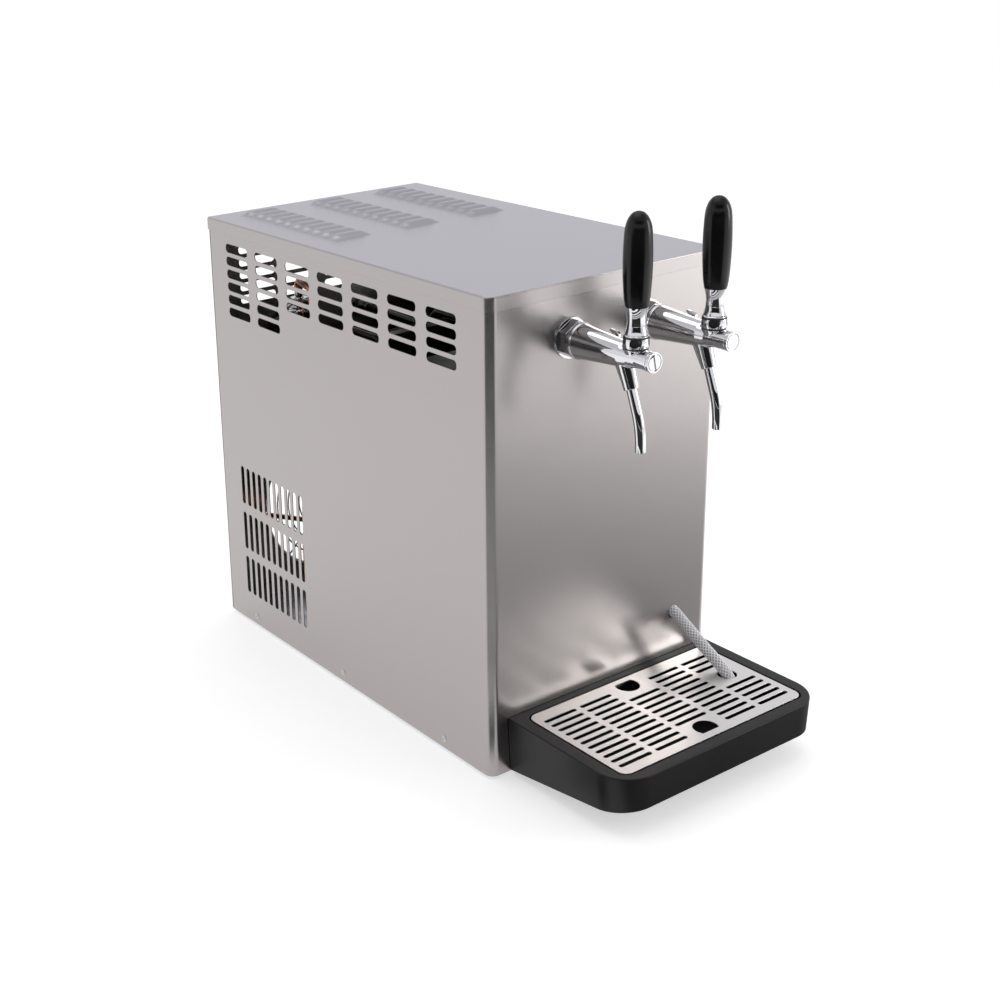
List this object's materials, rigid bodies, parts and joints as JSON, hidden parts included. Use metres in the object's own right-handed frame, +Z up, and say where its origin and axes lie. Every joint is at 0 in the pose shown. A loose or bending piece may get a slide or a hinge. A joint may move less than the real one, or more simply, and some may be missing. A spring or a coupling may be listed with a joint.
{
  "type": "two-tap countertop beer cooler",
  "caption": "Brushed steel countertop beer cooler with chrome taps, black lever handles, a slotted drip tray with a drain hose, louvred lid and vented sides.",
  "frame": {"origin": "centre of the overall footprint on the counter: tap and tray side to the front, beer inlets to the rear", "axes": "+Z up, +X to the right as seen from the taps, -Y towards the person drawing beer"},
  "size_m": [0.3, 0.6779, 0.571],
  "materials": {
    "brushed_sheet": "fine horizontal brushing",
    "galvanised": "dull zinc-coated sheet",
    "stainless": "bright rolled",
    "chrome": "mirror",
    "black_handle": "satin gloss",
    "black_tray": "satin",
    "black_plastic": "matte",
    "black_paint": "semi-gloss",
    "rubber": "matte",
    "foam": "matte foam",
    "copper": "drawn copper",
    "aluminium": "fin stock",
    "zinc_screw": "plated",
    "hose": "braided hose"
  },
  "bodies": {
    "cabinet": {"base_pan": "galvanised", "feet": "rubber", "cabinet_wrap": "brushed_sheet", "rear_panel": "brushed_sheet", "cabinet_screws": "zinc_screw", "tank_insulation": "foam", "tank_liner": "stainless", "drain_spigot": "black_plastic", "drain_hose": "hose", "evaporator_coil": "copper", "agitator_bridge": "stainless", "agitator_motor": "black_paint", "condenser_core": "aluminium", "condenser_tubes": "copper", "fan_shroud": "galvanised", "fan_bracket": "galvanised", "fan_motor": "galvanised", "fan_guard": "zinc_screw", "compressor": "black_paint", "compressor_grommets": "rubber", "accumulator": "chrome", "discharge_pipe": "copper", "suction_pipe": "copper", "equipment_shelf": "galvanised", "control_box": "black_plastic", "mains_inlet": "black_plastic", "switch_housing": "black_plastic", "thermostat_body": "black_plastic", "tray_hanger": "stainless", "hanger_screws": "zinc_screw", "tap_wall_nuts": "chrome", "tap_back_nuts": "chrome", "tap_end_plugs": "chrome", "beer_inlet_left": "stainless", "beer_inlet_right": "stainless", "beer_coil_left": "stainless", "beer_coil_right": "stainless", "tap_shank_left": "stainless", "tap_shank_right": "stainless", "tap_body_left": "chrome", "tap_body_right": "chrome", "lever_collar_left": "chrome", "lever_collar_right": "chrome", "tap_spout_left": "chrome", "tap_spout_right": "chrome"},
    "lid": {"lid": "brushed_sheet"},
    "tray": {"drip_tray": "black_tray"},
    "grille": {"drip_grille": "stainless"},
    "fan": {"fan_blade": "black_plastic"},
    "agitator": {"agitator_rotor": "stainless"},
    "knob": {"thermostat_knob": "black_plastic"},
    "rocker": {"power_rocker": "black_plastic"},
    "lever_left": {"tap_lever_left": "chrome", "tap_handle_left": "black_handle"},
    "lever_right": {"tap_lever_right": "chrome", "tap_handle_right": "black_handle"},
    "plunger_left": {"tap_plunger_left": "stainless"},
    "plunger_right": {"tap_plunger_right": "stainless"},
    "flow_left": {"flow_lever_left": "chrome"},
    "flow_right": {"flow_lever_right": "chrome"}
  },
  "joints": [
    {"name": "tap_lever_left_hinge", "type": "hinge", "parent": "cabinet", "child": "lever_left", "pos_m": [-0.05, -0.2635, 0.4505], "axis": [1, 0, 0], "range_deg": [-12, 35]},
    {"name": "tap_plunger_left_slide", "type": "slide", "parent": "cabinet", "child": "plunger_left", "axis": [0, 1, 0], "range_m": [-0.0023, 0.0064]},
    {"name": "flow_lever_left_hinge", "type": "hinge", "parent": "cabinet", "child": "flow_left", "pos_m": [-0.0338, -0.221, 0.4385], "axis": [1, 0, 0], "range_deg": [-45, 25]},
    {"name": "tap_lever_right_hinge", "type": "hinge", "parent": "cabinet", "child": "lever_right", "pos_m": [0.05, -0.2635, 0.4505], "axis": [1, 0, 0], "range_deg": [-12, 35]},
    {"name": "tap_plunger_right_slide", "type": "slide", "parent": "cabinet", "child": "plunger_right", "axis": [0, 1, 0], "range_m": [-0.0023, 0.0064]},
    {"name": "flow_lever_right_hinge", "type": "hinge", "parent": "cabinet", "child": "flow_right", "pos_m": [0.0662, -0.221, 0.4385], "axis": [1, 0, 0], "range_deg": [-45, 25]},
    {"name": "lid_lift", "type": "slide", "parent": "cabinet", "child": "lid", "axis": [0, 0, 1], "range_m": [0, 0.12]},
    {"name": "tray_lift", "type": "slide", "parent": "cabinet", "child": "tray", "axis": [0, 0, 1], "range_m": [0, 0.0145], "deforming": ["drain_hose"]},
    {"name": "grille_lift", "type": "slide", "parent": "tray", "child": "grille", "axis": [0, 0, 1], "range_m": [0, 0.03], "deforming": ["drain_hose"]},
    {"name": "fan_spin", "type": "hinge", "parent": "cabinet", "child": "fan", "pos_m": [-0.03, 0.21, 0.114], "axis": [0, 1, 0], "continuous": true},
    {"name": "agitator_spin", "type": "hinge", "parent": "cabinet", "child": "agitator", "pos_m": [0, 0.0005, 0.2], "axis": [0, 0, 1], "continuous": true},
    {"name": "thermostat_turn", "type": "hinge", "parent": "cabinet", "child": "knob", "pos_m": [0.006, 0.326, 0.266], "axis": [0, 1, 0], "range_deg": [0, 270]},
    {"name": "power_rocker_tilt", "type": "hinge", "parent": "cabinet", "child": "rocker", "pos_m": [0.062, 0.317, 0.266], "axis": [1, 0, 0], "range_deg": [-16, 0]}
  ],
  "couplings": [
    {"joint": "tap_plunger_left_slide", "follows": "tap_lever_left_hinge", "m_per_rad": 0.0102},
    {"joint": "tap_plunger_right_slide", "follows": "tap_lever_right_hinge", "m_per_rad": 0.0102}
  ]
}
